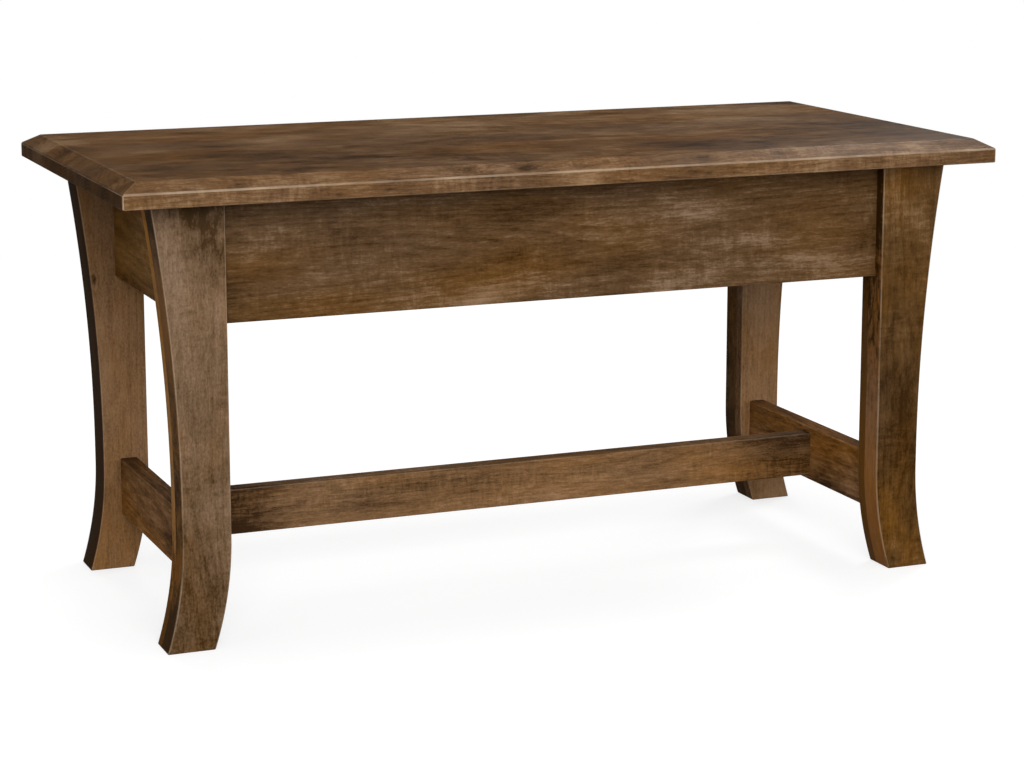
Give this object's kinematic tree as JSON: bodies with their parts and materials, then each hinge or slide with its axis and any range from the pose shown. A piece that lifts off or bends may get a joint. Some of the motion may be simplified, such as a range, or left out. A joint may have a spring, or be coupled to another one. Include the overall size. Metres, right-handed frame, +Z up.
{
  "type": "bed bench",
  "caption": "Solid-wood bed bench with a bevelled seat, flared laminated legs, deep aprons and an H-shaped stretcher, held by tenons, corner blocks and seat clips.",
  "frame": {"origin": "on the floor, under the middle of the seat", "axes": "+X along the bench to its right end, -Y towards the front, +Z up"},
  "size_m": [0.914, 0.432, 0.457],
  "materials": {
    "seat_wood": "satin brown stain",
    "leg_wood": "satin brown stain",
    "rail_wood": "satin brown stain",
    "bare_wood": "sealed, unstained",
    "zinc_steel": "zinc plated"
  },
  "bodies": {
    "root": {"seat_board_1": "seat_wood", "seat_board_2": "seat_wood", "seat_board_3": "seat_wood", "seat_board_4": "seat_wood", "seat_board_5": "seat_wood", "leg_front_left_face": "leg_wood", "leg_front_left_back": "leg_wood", "leg_front_right_face": "leg_wood", "leg_front_right_back": "leg_wood", "leg_rear_left_face": "leg_wood", "leg_rear_left_back": "leg_wood", "leg_rear_right_face": "leg_wood", "leg_rear_right_back": "leg_wood", "apron_front": "rail_wood", "apron_rear": "rail_wood", "apron_left": "rail_wood", "apron_right": "rail_wood", "stretcher_left": "rail_wood", "stretcher_right": "rail_wood", "stretcher_long": "rail_wood", "corner_block_front_left": "bare_wood", "corner_block_front_right": "bare_wood", "corner_block_rear_left": "bare_wood", "corner_block_rear_right": "bare_wood", "block_screws": "zinc_steel", "seat_clips": "zinc_steel", "clip_screws": "zinc_steel"}
  },
  "joints": []
}
